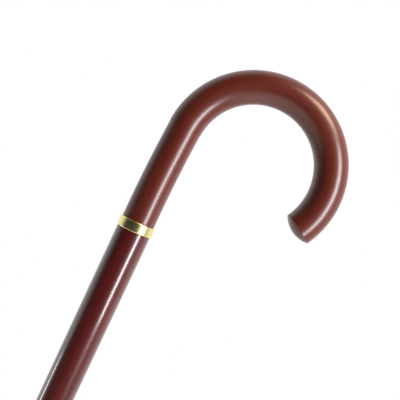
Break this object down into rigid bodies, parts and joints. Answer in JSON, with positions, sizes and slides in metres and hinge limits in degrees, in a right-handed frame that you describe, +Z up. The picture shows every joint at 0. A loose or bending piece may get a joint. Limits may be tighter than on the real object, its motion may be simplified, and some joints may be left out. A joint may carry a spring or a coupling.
{
  "type": "walking cane",
  "caption": "Crook-handled wooden walking cane in two parts that screw together under a brass collar, with a push-on rubber tip.",
  "frame": {"origin": "on the handle's centreline at the crown of the crook, where the hand holds it", "axes": "+Z up along the shaft, +X the way the crook turns, +Y square to the crook's plane"},
  "size_m": [0.1267, 0.034, 0.914],
  "materials": {
    "handle_wood": "satin mahogany stain and lacquer",
    "shaft_wood": "gloss deep red mahogany stain and lacquer",
    "brass": "polished",
    "steel": "plain zinc-plated",
    "black_rubber": "matt moulded"
  },
  "bodies": {
    "handle": {"crook_handle": "handle_wood", "hanger_bolt": "steel"},
    "collar": {"collar_band": "brass"},
    "staff": {"shaft": "shaft_wood", "shaft_insert": "brass"},
    "tip": {"rubber_tip": "black_rubber", "tip_washer": "steel"}
  },
  "joints": [
    {"name": "collar_drop", "type": "slide", "parent": "handle", "child": "collar", "axis": [0, 0, -1], "range_m": [0, 0.015]},
    {"name": "shaft_unscrew", "type": "hinge", "parent": "collar", "child": "staff", "pos_m": [-0.05028, 0, -0.111], "axis": [0, 0, -1], "range_deg": [0, 4321]},
    {"name": "tip_pull_off", "type": "slide", "parent": "staff", "child": "tip", "axis": [0, 0, -1], "range_m": [0, 0.03]}
  ],
  "couplings": [
    {"joint": "shaft_unscrew", "follows": "collar_drop", "rad_per_m": 5026.5}
  ]
}
